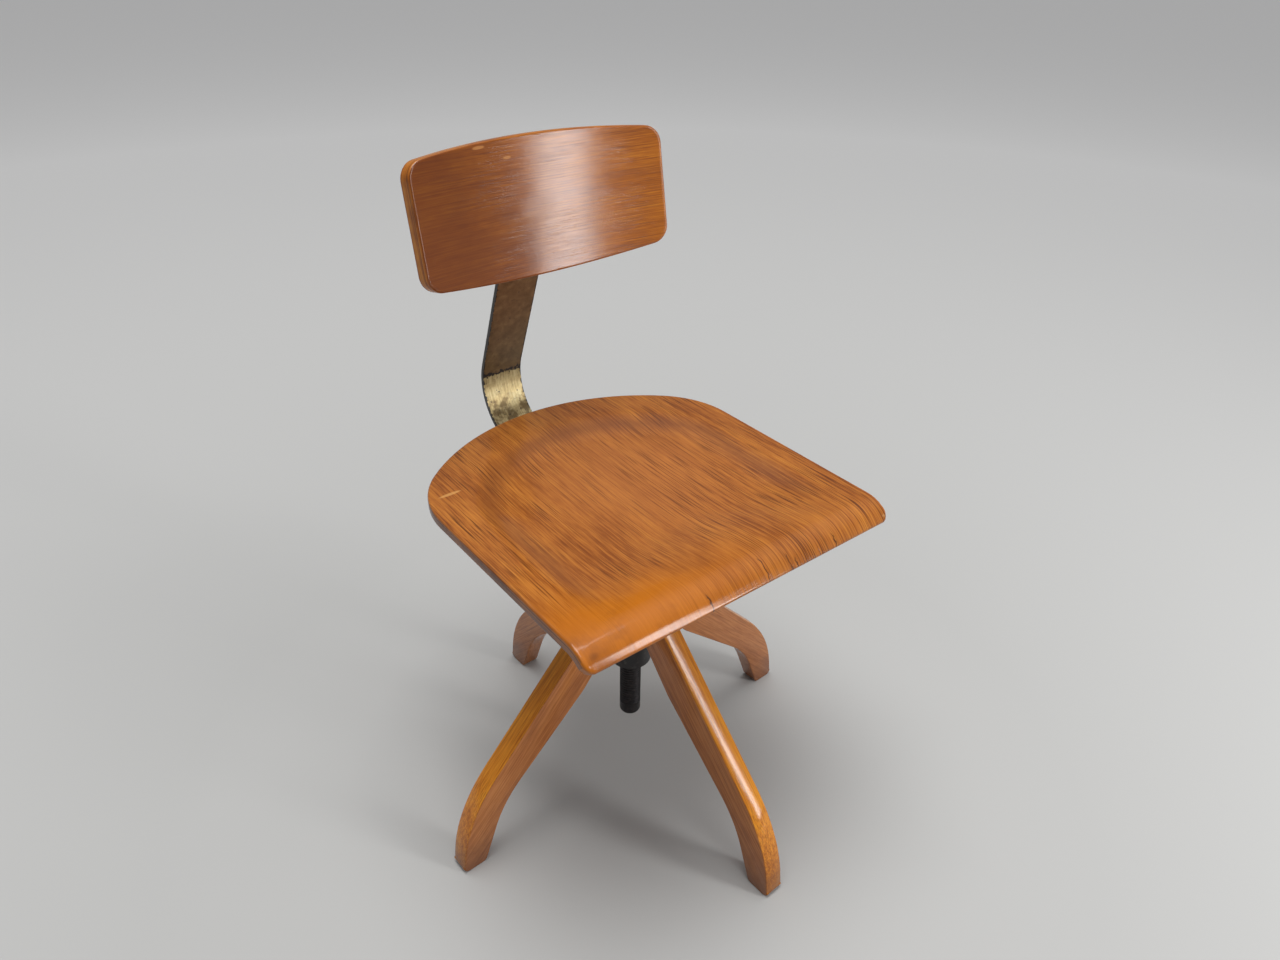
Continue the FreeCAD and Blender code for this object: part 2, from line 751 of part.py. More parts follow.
node("back_bar", make_bar())


def make_bar_bolts():
    parts = []
    head_top = "bar_level - bar_thickness / 2 - bar_washer_thickness"
    for n, y in enumerate(BAR_BOLT_SPOTS):
        shank = cylinder("bar_bolt_shank_%d" % n, "bar_bolt_radius",
                         "plate_thickness + bar_thickness + bar_washer_thickness", ("0", y, head_top))
        head = hexagon("bar_bolt_head_%d" % n, "bar_bolt_head_width", "bar_bolt_head_height",
                       ("0", y, head_top + " - bar_bolt_head_height"))
        parts += [shank, head]
    return fuse("bar_bolt_set", parts)


def make_bar_washers():
    parts = []
    level = "bar_level - bar_thickness / 2 - bar_washer_thickness"
    for n, y in enumerate(BAR_BOLT_SPOTS):
        disc = cylinder("bar_washer_disc_%d" % n, "bar_washer_radius", "bar_washer_thickness",
                        ("0", y, level))
        hole = cylinder("bar_washer_hole_%d" % n, "bar_bolt_radius + fit_gap", "bar_washer_thickness",
                        ("0", y, level))
        parts.append(cut("bar_washer_%d" % n, disc, hole))
    return fuse("bar_washer_set", parts)


node("bar_bolts", make_bar_bolts())
node("bar_washers", make_bar_washers())
node("seat_screws", make_seat_screws())


# Backrest: a plywood sheet curved about an upright line, with bowed edges and round corners
def make_rest():
    outer = cylinder("rest_outer", "rest_radius + rest_thickness", "2 * rest_height",
                     ("0", "-rest_radius", "-rest_height"))
    inner = cylinder("rest_inner", "rest_radius", "2 * rest_height", ("0", "-rest_radius", "-rest_height"))
    sheet_curve = cut("rest_curve", outer, inner)
    frame = box("rest_frame", ("rest_width", "rest_width", "rest_height + 2 * rest_bow"),
                ("-rest_width / 2", "-rest_width / 2", "-rest_height / 2 - rest_bow"))
    crown = cylinder("rest_crown", "bow_radius", "rest_width",
                     ("0", "-rest_width / 2", "rest_height / 2 + rest_bow - bow_radius"), ALONG_Y)
    keel = cylinder("rest_keel", "bow_radius", "rest_width",
                    ("0", "-rest_width / 2", "bow_radius - rest_bow - rest_height / 2"), ALONG_Y)
    plain = common("rest_plain", [sheet_curve, frame, crown, keel])
    corner_x = size("rest_width") / 2
    corner_z = size("rest_height") / 2

    def corner_edge(edge):
        point = middle(edge)
        return abs(abs(point.x) - corner_x) < 0.5 and abs(abs(point.z) - corner_z) < 0.5

    shaped = fillet("rest_shaped", plain, size("rest_corner"), corner_edge)
    thickness = size("rest_thickness")
    return fillet("rest_round", shaped, size("rest_edge_round"),
                  lambda e: e.Length > 2 * thickness or abs(direction(e).y) < 0.7)


def tilt_rest(thing):
    """Lean the finished sheet back and carry it to its height."""
    thing.Placement = Placement(Vector(0, 0, 0), Rotation(X_AXIS, -size("rest_recline")))
    bind(thing, "Placement.Base.y", "rest_depth")
    bind(thing, "Placement.Base.z", "rest_centre")
    return thing


def make_backrest():
    solid = tilt_rest(make_rest())
    tools = rest_tools("rest_hole", "rest_screw_radius + fit_gap", "rest_screw_bite + 1",
                       "rest_thickness - rest_screw_bite")
    return cut("rest_cut", solid, fuse("rest_holes", tools))


node("backrest", make_backrest())


def make_rest_screws():
    shanks = rest_tools("rest_screw_shank", "rest_screw_radius", "rest_screw_bite + bar_thickness - 1",
                        "rest_thickness - rest_screw_bite + 1")
    heads = rest_tools("rest_screw_head", "rest_screw_head", "rest_screw_head_height",
                       "rest_thickness + bar_thickness")
    return fuse("rest_screw_set", shanks + heads)


node("rest_screws", make_rest_screws())

# Every object has to be sound before anything is written
doc.recompute()
for thing in doc.Objects:
    bad = [word for word in thing.State if word in ("Invalid", "Error")]
    if bad:
        raise RuntimeError("%s is %s" % (thing.Name, ", ".join(bad)))
for thing in NODES:
    shape = thing.Shape
    if shape.isNull() or not shape.isValid() or shape.Volume <= 0:
        raise RuntimeError("%s has no sound shape" % thing.Label)
for thing in NODES:
    shape = thing.Shape
    shape.exportStep("parts/%s.step" % thing.Label)
    corners = shape.BoundBox
    print("%-16s solids %2d volume %10.0f z %6.1f to %6.1f" % (
        thing.Label, len(shape.Solids), shape.Volume, corners.ZMin, corners.ZMax))
print("nodes", len(NODES))
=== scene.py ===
import math

import bmesh
import bpy
from mathutils import Matrix, Vector


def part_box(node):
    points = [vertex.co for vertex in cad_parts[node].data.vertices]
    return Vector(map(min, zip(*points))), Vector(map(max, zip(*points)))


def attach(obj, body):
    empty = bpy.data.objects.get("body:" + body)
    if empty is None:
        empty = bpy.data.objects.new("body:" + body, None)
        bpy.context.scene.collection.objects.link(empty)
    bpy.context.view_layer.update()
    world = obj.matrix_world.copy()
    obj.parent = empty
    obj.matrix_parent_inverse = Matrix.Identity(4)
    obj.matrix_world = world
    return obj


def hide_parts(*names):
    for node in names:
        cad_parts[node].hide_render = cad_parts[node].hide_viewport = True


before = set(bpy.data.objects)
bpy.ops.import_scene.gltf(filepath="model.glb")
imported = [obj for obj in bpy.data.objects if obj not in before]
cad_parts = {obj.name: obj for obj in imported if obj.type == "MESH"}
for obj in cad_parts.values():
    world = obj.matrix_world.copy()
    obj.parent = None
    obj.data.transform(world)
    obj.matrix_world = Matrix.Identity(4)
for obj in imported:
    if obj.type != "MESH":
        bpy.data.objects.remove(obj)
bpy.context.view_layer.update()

# A wooden swivel work chair. Metres, +Z up, the floor at z = 0, the spindle on the Z axis,
# the seat facing -Y.

MM = 0.001


# Shader nodes

def linear(hex_colour):
    """An sRGB hex colour as the linear values a shader takes."""
    out = []
    for start in (1, 3, 5):
        value = int(hex_colour[start:start + 2], 16) / 255
        out.append(value / 12.92 if value <= 0.04045 else ((value + 0.055) / 1.055) ** 2.4)
    return (*out, 1.0)


def add(tree, kind, inputs=None, out=0, stops=(), **settings):
    """Add one shader node with its settings, values, links and colour stops; give one output."""
    made = tree.nodes.new("ShaderNode" + kind)
    for name, value in settings.items():
        setattr(made, name, value)
    for name, value in (inputs or {}).items():
        if isinstance(value, bpy.types.NodeSocket):
            tree.links.new(value, made.inputs[name])
        else:
            made.inputs[name].default_value = value
    for index, (place, colour) in enumerate(stops):
        elements = made.color_ramp.elements
        element = elements[index] if index < 2 else elements.new(place)
        element.position = place
        element.color = linear(colour)
    return made.outputs[out]


def new_material(name, **surface):
    """A material whose Principled shader has its even values set on its own sockets."""
    material = bpy.data.materials.new(name)
    material.use_nodes = True
    shader = material.node_tree.nodes["Principled BSDF"]
    for socket, value in surface.items():
        shader.inputs[socket.replace("_", " ")].default_value = value
    return material, material.node_tree, shader


# Wear, stains and painted shade

# Where the colour of a small oval mark begins and where it is full, as shares of its half-sizes.
OVAL_EDGE = (1.0, 0.6)


def from_centre(tree, place, centre, reach):
    """How far a point is from a centre, as 1 on the rim of an oval with three half-sizes in mm."""
    scale = [1 / (size * MM) for size in reach]
    shift = [-middle * MM * factor for middle, factor in zip(centre, scale)]
    oval = add(tree, "Mapping", {"Vector": place, "Location": shift, "Scale": scale})
    return add(tree, "VectorMath", {0: oval}, out="Value", operation="LENGTH")


def apart(tree, value, middle):
    """How far a value is from a middle one, on either side."""
    off = add(tree, "Math", {0: value, 1: middle}, operation="SUBTRACT")
    return add(tree, "Math", {0: off}, operation="ABSOLUTE")


def mark(tree, colour, tint, *edges, strength=1.0, within=None):
    """Lay a hex colour over another, as a stain or a worn place. Each edge is a value and the two
    numbers between which the mark grows softly from nothing to its strength; within is a mask."""
    share = within
    for value, start, end in edges:
        grown = add(tree, "MapRange", {"Value": value, "From Min": start, "From Max": end,
                                       "To Max": strength}, interpolation_type="SMOOTHSTEP")
        strength = 1.0
        if share is None:
            share = grown
        else:
            share = add(tree, "Math", {0: share, 1: grown}, operation="MULTIPLY")
    return add(tree, "Mix", {0: share, 6: colour, 7: linear(tint)}, out=2, data_type="RGBA")


# Cracks over the seat's front edge: place across the seat and place where each starts, in mm.
SEAT_CRACKS = ((-56, -186), (20, -178), (52, -186), (60, -192), (118, -188))
CRACK_FADE = 6


def seat_wear_and_shade(tree, colour, dashes):
    """A sitter's rubbing, and painted shade: a paler middle with bold dark pores to its right, an
    amber, mottled coat left in front, painted shade in a band where the pan meets the rim, small
    cracks over the front edge, a chip, a scratch and a dark corner."""
    place = add(tree, "TexCoord", out="Object")
    side = add(tree, "SeparateXYZ", {0: place}, out="X")
    along = add(tree, "SeparateXYZ", {0: place}, out="Y")
    patch = add(tree, "TexNoise", {"Vector": place, "Scale": 14.0, "Detail": 4.0,
                                   "Roughness": 0.6})

    middle = from_centre(tree, place, (33.3, 23.1, 0), (133.3, 153.8, math.inf))
    middle = add(tree, "Math", {0: patch, 1: 0.7, 2: middle}, operation="MULTIPLY_ADD")
    colour = mark(tree, colour, "#AA6836", (middle, 1.6, 0.6), strength=0.5)
    right = from_centre(tree, place, (65.4, 15.4, 0), (76.9, 153.8, math.inf))
    colour = mark(tree, colour, "#562A12", (right, 1.2, 0.5), strength=0.55, within=dashes)

    front = add(tree, "Math", {0: patch, 1: 0.12, 2: along}, operation="MULTIPLY_ADD")
    front_left = ((front, -0.02, -0.13), (side, 0.12, -0.16))
    colour = mark(tree, colour, "#B26408", *front_left, strength=0.85)
    colour = mark(tree, colour, "#7A3F0C", *front_left, (patch, 0.46, 0.66), strength=0.595)

    share = add(tree, "Attribute", out="Fac", attribute_name="share")
    # Painted shade: a dark band along the pan's wall, round the sides and back where the pan meets
    # the rim, kept off the front.
    wall = add(tree, "Math", {0: patch, 1: 0.12, 2: share}, operation="MULTIPLY_ADD")
    colour = mark(tree, colour, "#6B3A1C", (apart(tree, wall, 0.80), 0.09, 0.0),
                  (along, -0.17, -0.09), strength=0.45)

    wander = add(tree, "TexNoise", {"Vector": place, "Scale": 120.0, "Detail": 2.0})
    bent = add(tree, "Math", {0: wander, 1: 6 * MM, 2: side}, operation="MULTIPLY_ADD")
    for across, start in SEAT_CRACKS:
        off = apart(tree, bent, (across + 3) * MM)
        colour = mark(tree, colour, "#3A1B0B", (off, 1.1 * MM, 0.3 * MM),
                      (along, start * MM, (start - CRACK_FADE) * MM), strength=0.85)

    chip = from_centre(tree, place, (197, -195, 426), (7, 4, 6))
    colour = mark(tree, colour, "#E0B67C", (chip, *OVAL_EDGE))
    scratch = from_centre(tree, place, (-172, 106, 443), (16, 3, 20))
    colour = mark(tree, colour, "#D09A58", (scratch, *OVAL_EDGE), strength=0.6)
    corner = from_centre(tree, place, (-190, -188, 428), (12, 8, 10))
    return mark(tree, colour, "#4A230D", (corner, *OVAL_EDGE))


def rest_darkening_and_nicks(tree, colour, _dashes):
    """The backrest's coat is darker towards its left end, in uneven patches, and has two pale
    nicks.
    """
    place = add(tree, "TexCoord", out="Object")
    across = add(tree, "SeparateXYZ", {0: place}, out="X")
    patch = add(tree, "TexNoise", {"Vector": place, "Scale": 9.0, "Detail": 4.0,
                                   "Roughness": 0.6})
    shade = add(tree, "Math", {0: across, 1: 3.2, 2: patch}, operation="MULTIPLY_ADD")
    colour = mark(tree, colour, "#602C0A", (shade, 0.75, 0.05), strength=0.75)
    for centre, reach in (((-34.7, 170, 771), (6, 30, 2)), ((-67.7, 170, 785), (9, 30, 2))):
        nick = from_centre(tree, place, centre, reach)
        colour = mark(tree, colour, "#C98A4C", (nick, *OVAL_EDGE), strength=0.6)
    return colour


def leg_wear(tree, colour, _dashes):
    """The feet are scuffed dark where brooms and shoes knock them."""
    place = add(tree, "TexCoord", out="Object")
    height = add(tree, "SeparateXYZ", {0: place}, out="Z")
    patch = add(tree, "TexNoise", {"Vector": place, "Scale": 60.0, "Detail": 4.0,
                                   "Roughness": 0.7})
    ragged = add(tree, "Math", {0: patch, 1: 50 * MM, 2: height}, operation="MULTIPLY_ADD")
    return mark(tree, colour, "#5A2C0E", (ragged, 90 * MM, 28 * MM), strength=0.55)


def dark_edge_lines(tree, colour, dashes):
    """Broken dark lines lie along a leg's edges, over scuffed feet."""
    place = add(tree, "TexCoord", out="Object")
    patch = add(tree, "TexNoise", {"Vector": place, "Scale": 70.0, "Detail": 3.0,
                                   "Roughness": 0.7})
    colour = mark(tree, colour, "#5E2E10", (patch, 0.46, 0.64), strength=0.6)
    return leg_wear(tree, colour, dashes)


# Materials

TONE_STOPS = (0.40, 0.50, 0.60)


def varnished_wood(name, tones, pore, line, pore_depth, across=1.0, gloss=0.14, wear_and_painted_shade=None):
    """Old varnished hardwood under a clear amber shellac coat: soft drifts of tone, fine lines of
    growth rings, and open pores along the grain that catch dirt and read as dark dashes. The grain
    attribute gives each point's place on its board in metres, with X along the grain; line is the
    width of the rings, and across is 0 on a veneer, whose pattern doesn't change through its
    thickness."""
    material, tree, shader = new_material(name, Roughness=0.5, Specular_IOR_Level=0.06,
                                          Coat_Weight=0.8, Coat_Roughness=gloss)
    board = add(tree, "Attribute", out="Vector", attribute_name="grain")

    def figure(length, width, **noise):
        """Noise stretched along the board to one length and width in metres."""
        space = add(tree, "Mapping", {"Vector": board,
                                      "Scale": (1 / length, 1 / width, across / width)})
        return add(tree, "TexNoise", {"Vector": space, "Scale": 1.0, **noise})

    drift = figure(130 * MM, 45 * MM, Detail=4.0, Roughness=0.6)
    rings = figure(160 * MM, line, Detail=3.0, Roughness=0.55)
    fibre = figure(22 * MM, 1.2 * MM, Detail=1.5)
    grain = add(tree, "Mix", {0: 0.5, 2: drift, 3: rings})
    grain = add(tree, "Mix", {0: 0.25, 2: grain, 3: fibre})
    colour = add(tree, "ValToRGB", {"Fac": grain}, stops=list(zip(TONE_STOPS, tones)))

    dashes = add(tree, "MapRange", {"Value": figure(75 * MM, line * 0.42, Detail=1.0),
                                    "From Min": 0.53, "From Max": 0.63},
                 interpolation_type="SMOOTHSTEP")
    broken = add(tree, "MapRange", {"Value": figure(90 * MM, 50 * MM, Detail=2.0),
                                    "From Min": 0.36, "From Max": 0.62,
                                    "To Min": 0.25, "To Max": 1.0},
                 interpolation_type="SMOOTHSTEP")
    pores = add(tree, "Math", {0: dashes, 1: broken}, operation="MULTIPLY")
    pore_tint = add(tree, "Math", {0: pores, 1: pore_depth}, operation="MULTIPLY")
    colour = mark(tree, colour, pore, within=pore_tint)
    if wear_and_painted_shade:
        colour = wear_and_painted_shade(tree, colour, dashes)
    tree.links.new(colour, shader.inputs["Base Color"])

    relief = add(tree, "Math", {0: rings, 1: pores}, operation="SUBTRACT")
    normal = add(tree, "Bump", {"Height": relief, "Strength": 0.16, "Distance": 0.12 * MM})
    tree.links.new(normal, shader.inputs["Normal"])
    tree.links.new(normal, shader.inputs["Coat Normal"])
    return material


def plywood_edge(name, tones, dirt):
    """The rounded edge of the plywood: layers of veneer one under another beneath the varnish, and
    dirt in a dark line under the top veneer. The grain attribute's Z is the depth below the
    sheet's face."""
    veneer, dirt_depth = 2.6 * MM, 5 * MM
    material, tree, shader = new_material(name, Roughness=0.5, Specular_IOR_Level=0.06,
                                          Coat_Weight=0.7, Coat_Roughness=0.2)
    board = add(tree, "Attribute", out="Vector", attribute_name="grain")
    layer_space = add(tree, "Mapping", {"Vector": board,
                                        "Scale": (1 / 0.12, 1 / 0.12, 1 / veneer)})
    layers = add(tree, "TexNoise", {"Vector": layer_space, "Scale": 1.0, "Detail": 1.0})
    drift = add(tree, "TexNoise", {"Vector": board, "Scale": 22.0, "Detail": 4.0,
                                   "Roughness": 0.6})
    tone = add(tree, "Mix", {0: 0.55, 2: layers, 3: drift})
    colour = add(tree, "ValToRGB", {"Fac": tone}, stops=list(zip(TONE_STOPS, tones)))
    depth = add(tree, "SeparateXYZ", {0: board}, out="Z")
    wavy = add(tree, "Math", {0: drift, 1: 1.5 * MM, 2: depth}, operation="MULTIPLY_ADD")
    off = apart(tree, wavy, dirt_depth)
    colour = mark(tree, colour, "#331809", (off, 0.9 * MM, 0.2 * MM), strength=dirt)
    tree.links.new(colour, shader.inputs["Base Color"])
    return material


def raw_wood():
    """Planed deal with no varnish, dusty under the seat: broad soft streaks, a dull surface."""
    material, tree, shader = new_material("raw_planed_deal", Roughness=0.75)
    streak_length, streak_width = 160 * MM, 3 * MM
    place = add(tree, "TexCoord", out="Object")
    streak_space = add(tree, "Mapping", {
        "Vector": place, "Scale": (1 / streak_width, 1 / streak_length, 1 / streak_width)})
    streaks = add(tree, "TexNoise", {"Vector": streak_space, "Scale": 1.0, "Detail": 3.0,
                                     "Roughness": 0.6, "Distortion": 0.3})
    colour = add(tree, "ValToRGB", {"Fac": streaks},
                 stops=[(0.35, "#6B4526"), (0.55, "#8A6038"), (0.7, "#9C7448")])
    tree.links.new(colour, shader.inputs["Base Color"])
    normal = add(tree, "Bump", {"Height": streaks, "Strength": 0.3, "Distance": 0.2 * MM})
    tree.links.new(normal, shader.inputs["Normal"])
    return material


def stained_metal(name, tones, grit, gloss, **surface):
    """Metal whose tone and gloss drift in small cloudy stains of one grit, with fine pits."""
    material, tree, shader = new_material(name, **surface)
    place = add(tree, "TexCoord", out="Object")
    stain = add(tree, "TexNoise", {"Vector": place, "Scale": 1 / grit, "Detail": 5.0,
                                   "Roughness": 0.65})
    colour = add(tree, "ValToRGB", {"Fac": stain}, stops=list(zip((0.36, 0.54, 0.70), tones)))
    tree.links.new(colour, shader.inputs["Base Color"])
    polish = add(tree, "MapRange", {"Value": stain, "From Min": 0.3, "From Max": 0.7,
                                    "To Min": gloss[0], "To Max": gloss[1]})
    tree.links.new(polish, shader.inputs["Roughness"])
    pits = add(tree, "TexNoise", {"Vector": place, "Scale": 4 / grit, "Detail": 3.0})
    normal = add(tree, "Bump", {"Height": pits, "Strength": 0.25, "Distance": 0.12 * MM})
    tree.links.new(normal, shader.inputs["Normal"])
    return material


def plated_steel():
    """A plated spring strip: brown-olive where the plating has gone, pale gold on the lower bend,
    with black rust in a ragged band between, in spots and along the cut edges."""
    band_height = 480 * MM
    material, tree, shader = new_material("worn_plated_spring_steel")
    place = add(tree, "TexCoord", out="Object")
    facing = add(tree, "TexCoord", out="Normal")
    height = add(tree, "SeparateXYZ", {0: place}, out="Z")
    across = add(tree, "SeparateXYZ", {0: place}, out="X")
    cloud = add(tree, "TexNoise", {"Vector": place, "Scale": 90.0, "Detail": 5.0,
                                   "Roughness": 0.65})
    ragged = add(tree, "Math", {0: cloud, 1: 8 * MM, 2: height}, operation="MULTIPLY_ADD")
    lower = add(tree, "MapRange", {"Value": ragged, "From Min": band_height - 1 * MM,
                                   "From Max": band_height - 3.5 * MM},
                interpolation_type="SMOOTHSTEP")
    brush_space = add(tree, "Mapping", {"Vector": place,
                                        "Scale": (1 / (1.4 * MM), 1 / (20 * MM), 1 / (20 * MM))})
    brushed = add(tree, "TexNoise", {"Vector": brush_space, "Scale": 1.0, "Detail": 3.0})
    wiped = add(tree, "Mix", {0: 0.5, 2: cloud, 3: brushed})
    olive = add(tree, "ValToRGB", {"Fac": cloud},
                stops=[(0.35, "#665034"), (0.55, "#7A6142"), (0.7, "#8A714E")])
    gold = add(tree, "ValToRGB", {"Fac": wiped},
               stops=[(0.36, "#8A754C"), (0.5, "#B7A374"), (0.62, "#CFC094")])
    colour = add(tree, "Mix", {0: lower, 6: olive, 7: gold}, out=2, data_type="RGBA")
    stains = add(tree, "TexNoise", {"Vector": place, "Scale": 60.0, "Detail": 3.0,
                                    "Roughness": 0.6})
    colour = mark(tree, colour, "#5B4628", (height, 452 * MM, 438 * MM), (stains, 0.42, 0.58),
                  strength=0.8)

    rust = add(tree, "TexNoise", {"Vector": place, "Scale": 240.0, "Detail": 4.0,
                                  "Roughness": 0.6})
    band = apart(tree, ragged, band_height)
    margin = apart(tree, across, 0.0)
    flank = apart(tree, add(tree, "SeparateXYZ", {0: facing}, out="X"), 0.0)
    rust_growth = ((band, 6 * MM, 0.5 * MM, 0.24), (margin, 25.5 * MM, 28 * MM, 0.24),
                   (flank, 0.6, 0.9, 1.0))
    for value, start, end, growth in rust_growth:
        grown = add(tree, "MapRange", {"Value": value, "From Min": start, "From Max": end,
                                       "To Max": growth}, interpolation_type="SMOOTHSTEP")
        rust = add(tree, "Math", {0: rust, 1: grown}, operation="ADD")
    spots = add(tree, "MapRange", {"Value": rust, "From Min": 0.64, "From Max": 0.71},
                interpolation_type="SMOOTHSTEP")
    colour = mark(tree, colour, "#1A120D", within=spots)
    tree.links.new(colour, shader.inputs["Base Color"])
    bare = add(tree, "MapRange", {"Value": spots, "To Min": 0.6, "To Max": 0.1})
    tree.links.new(bare, shader.inputs["Metallic"])
    polish = add(tree, "MapRange", {"Value": cloud, "From Min": 0.3, "From Max": 0.7,
                                    "To Min": 0.34, "To Max": 0.5})
    tree.links.new(polish, shader.inputs["Roughness"])
    normal = add(tree, "Bump", {"Height": spots, "Strength": 0.3, "Distance": 0.1 * MM})
    tree.links.new(normal, shader.inputs["Normal"])
    return material


# The seat's face veneer: open-pored, rubbed thin by sitting, with the glossiest coat.
SEAT_WOOD = varnished_wood(
    "varnished_seat_veneer", ("#7E4216", "#A05E24", "#B6722C"), "#4A220C",
    line=3.2 * MM, pore_depth=0.8, across=0.0, gloss=0.12, wear_and_painted_shade=seat_wear_and_shade)

# The backrest's face veneer: finer and darker, grain from side to side.
REST_WOOD = varnished_wood(
    "varnished_backrest_veneer", ("#84440A", "#A45A0E", "#BA7018"), "#5C2C08",
    line=1.7 * MM, pore_depth=0.5, across=0.0, gloss=0.14, wear_and_painted_shade=rest_darkening_and_nicks)

# Solid beech: amber on the legs' outer faces, a darker, browner copy as painted shade on the flat
# sides and undersides, and a darker copy with broken dark lines along the eased edges between
# them.
LEG_WOOD = varnished_wood(
    "varnished_beech", ("#AA5E10", "#CC7C1C", "#DE9228"), "#7A4315",
    line=3.0 * MM, pore_depth=0.45, wear_and_painted_shade=leg_wear)
LEG_SHADED_SIDE_WOOD = varnished_wood(
    "varnished_beech_side_painted_shade", ("#985829", "#B26E38", "#C07C44"), "#6E3C1A",
    line=3.0 * MM, pore_depth=0.4, wear_and_painted_shade=leg_wear)
LEG_EDGE_WOOD = varnished_wood(
    "dark_lined_beech_edge", ("#9C5616", "#B66C20", "#C8802C"), "#6A3A17",
    line=3.0 * MM, pore_depth=0.3, wear_and_painted_shade=dark_edge_lines)

# The plywood's edges: brown and dirty round the seat, amber round the backrest.
SEAT_EDGE_WOOD = plywood_edge("varnished_seat_edge", ("#643414", "#824A1E", "#9A5E2A"), 0.85)
REST_EDGE_WOOD = plywood_edge("varnished_backrest_edge", ("#7A3E10", "#A05C18", "#B87424"), 0.5)

RAW_WOOD = raw_wood()
PLATED_STEEL = plated_steel()

# Stove enamel, black with worn grey specks.
BLACK_STEEL = stained_metal(
    "black_stove_enamel", ("#121011", "#1A1718", "#3C3836"), 9 * MM, (0.32, 0.5))

# Screw steel blackened by oil and dust.
SCREW_STEEL = stained_metal(
    "oiled_screw_steel", ("#141213", "#201C1D", "#3A3433"), 6 * MM, (0.34, 0.55), Metallic=0.35)

# Bolt steel browned with age.
BOLT_STEEL = stained_metal(
    "aged_bolt_steel", ("#3B2E24", "#6E6860", "#8B857B"), 5 * MM, (0.38, 0.55), Metallic=0.85)

# Bearing bronze, brown where it isn't rubbed.
BRONZE = stained_metal(
    "dull_bearing_bronze", ("#5A3E1E", "#9A7436", "#B08A4A"), 7 * MM, (0.34, 0.5), Metallic=0.9)


# Making pieces

def finish_piece(name, shape, materials, body, nodes, board=None, share=None,
                 smooth_angle=35):
    """Turn a finished bmesh into a piece that rides on its body and stands for its CAD nodes. The
    board function gives each point's place on the wood, with X along the grain, and the share
    function how far out from the middle of the seat a point lies."""
    mesh = bpy.data.meshes.new(name)
    bmesh.ops.recalc_face_normals(shape, faces=shape.faces)
    shape.to_mesh(mesh)
    shape.free()
    for material in materials:
        mesh.materials.append(material)
    mesh.polygons.foreach_set("use_smooth", [True] * len(mesh.polygons))
    mesh.set_sharp_from_angle(angle=math.radians(smooth_angle))
    if board:
        grain = mesh.attributes.new("grain", "FLOAT_VECTOR", "POINT")
        for vertex, held in zip(mesh.vertices, grain.data):
            held.vector = board(vertex.co)
    if share:
        outness = mesh.attributes.new("share", "FLOAT", "POINT")
        for vertex, held in zip(mesh.vertices, outness.data):
            held.value = share(vertex.co)
    piece = bpy.data.objects.new(name, mesh)
    bpy.context.scene.collection.objects.link(piece)
    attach(piece, body)
    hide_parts(*nodes)


def round_edges(shape, edges, width, segments):
    """Round some edges, each new face in its neighbour's finish."""
    bmesh.ops.bevel(shape, geom=edges, offset=width, offset_type="OFFSET", affect="EDGES",
                    segments=segments, profile=0.5, material=-1, clamp_overlap=True)


def sharp_edges(shape, degrees):
    """The edges whose two faces meet at more than an angle."""
    return [edge for edge in shape.edges if len(edge.link_faces) == 2
            and edge.calc_face_angle(0) > math.radians(degrees)]


def only(items, kind):
    """The vertices, edges or faces among what an operator gives."""
    return [item for item in items if isinstance(item, kind)]


def arc_points(centre, radius, start, end, steps):
    """Points on an arc from one angle to another, in degrees."""
    out = []
    for index in range(steps + 1):
        angle = math.radians(start + (end - start) * index / steps)
        out.append(Vector((centre[0] + radius * math.cos(angle),
                           centre[1] + radius * math.sin(angle))))
    return out


def rounded_outline(corners, steps):
    """A closed outline from (x, y, radius) corners, each corner an arc or, without a radius, a
    point."""
    out = []
    count = len(corners)
    for index, (x, y, radius) in enumerate(corners):
        here = Vector((x, y))
        before = (Vector(corners[index - 1][:2]) - here).normalized()
        after = (Vector(corners[(index + 1) % count][:2]) - here).normalized()
        if radius <= 0:
            out.append(here)
            continue
        half = before.angle(after) / 2
        reach = radius / math.tan(half)
        centre = here + (before + after).normalized() * radius / math.sin(half)
        start = here + before * reach - centre
        end = here + after * reach - centre
        first = math.degrees(math.atan2(start.y, start.x))
        last = math.degrees(math.atan2(end.y, end.x))
        turn = (last - first + 180) % 360 - 180
        out += arc_points(centre, radius, first, first + turn, steps)
    return out


def concentric(outline, shares, place):
    """A sheet of rings that shrink from an outline to its middle; place(point, share) sets each
    point."""
    shape = bmesh.new()
    middle = sum(outline, Vector((0, 0))) / len(outline)
    verts = [shape.verts.new(place(point, 1.0)) for point in outline]
    edges = [shape.edges.new((verts[index - 1], vert)) for index, vert in enumerate(verts)]
    for share in shares:
        grown = bmesh.ops.extrude_edge_only(shape, edges=edges)["geom"]
        ring = set(only(grown, bmesh.types.BMVert))
        follow = {}
        for vert in ring:
            for edge in vert.link_edges:
                if edge.other_vert(vert) not in ring:
                    follow[edge.other_vert(vert)] = vert
        verts = [follow[vert] for vert in verts]
        edges = [edge for edge in only(grown, bmesh.types.BMEdge)
                 if edge.verts[0] in ring and edge.verts[1] in ring]
        for vert, point in zip(verts, outline):
            vert.co = place(middle + (point - middle) * share, share)
    bmesh.ops.contextual_create(shape, geom=edges)
    return shape


def thicken(shape, sheet, outwards, edge_round, edge_steps):
    """Give a sheet its thickness behind the face that looks one way, and round its rim."""
    bmesh.ops.recalc_face_normals(shape, faces=shape.faces)
    if sum(face.normal.dot(outwards) for face in shape.faces) < 0:
        bmesh.ops.reverse_faces(shape, faces=shape.faces)
    bmesh.ops.solidify(shape, geom=list(shape.faces), thickness=sheet)
    round_edges(shape, sharp_edges(shape, 55), edge_round, edge_steps)


def smooth_step(value, low, high):
    """A soft climb from 0 to 1 while a value goes from low to high."""
    share = min(max((value - low) / (high - low), 0.0), 1.0)
    return share * share * (3 - 2 * share)


# Seat

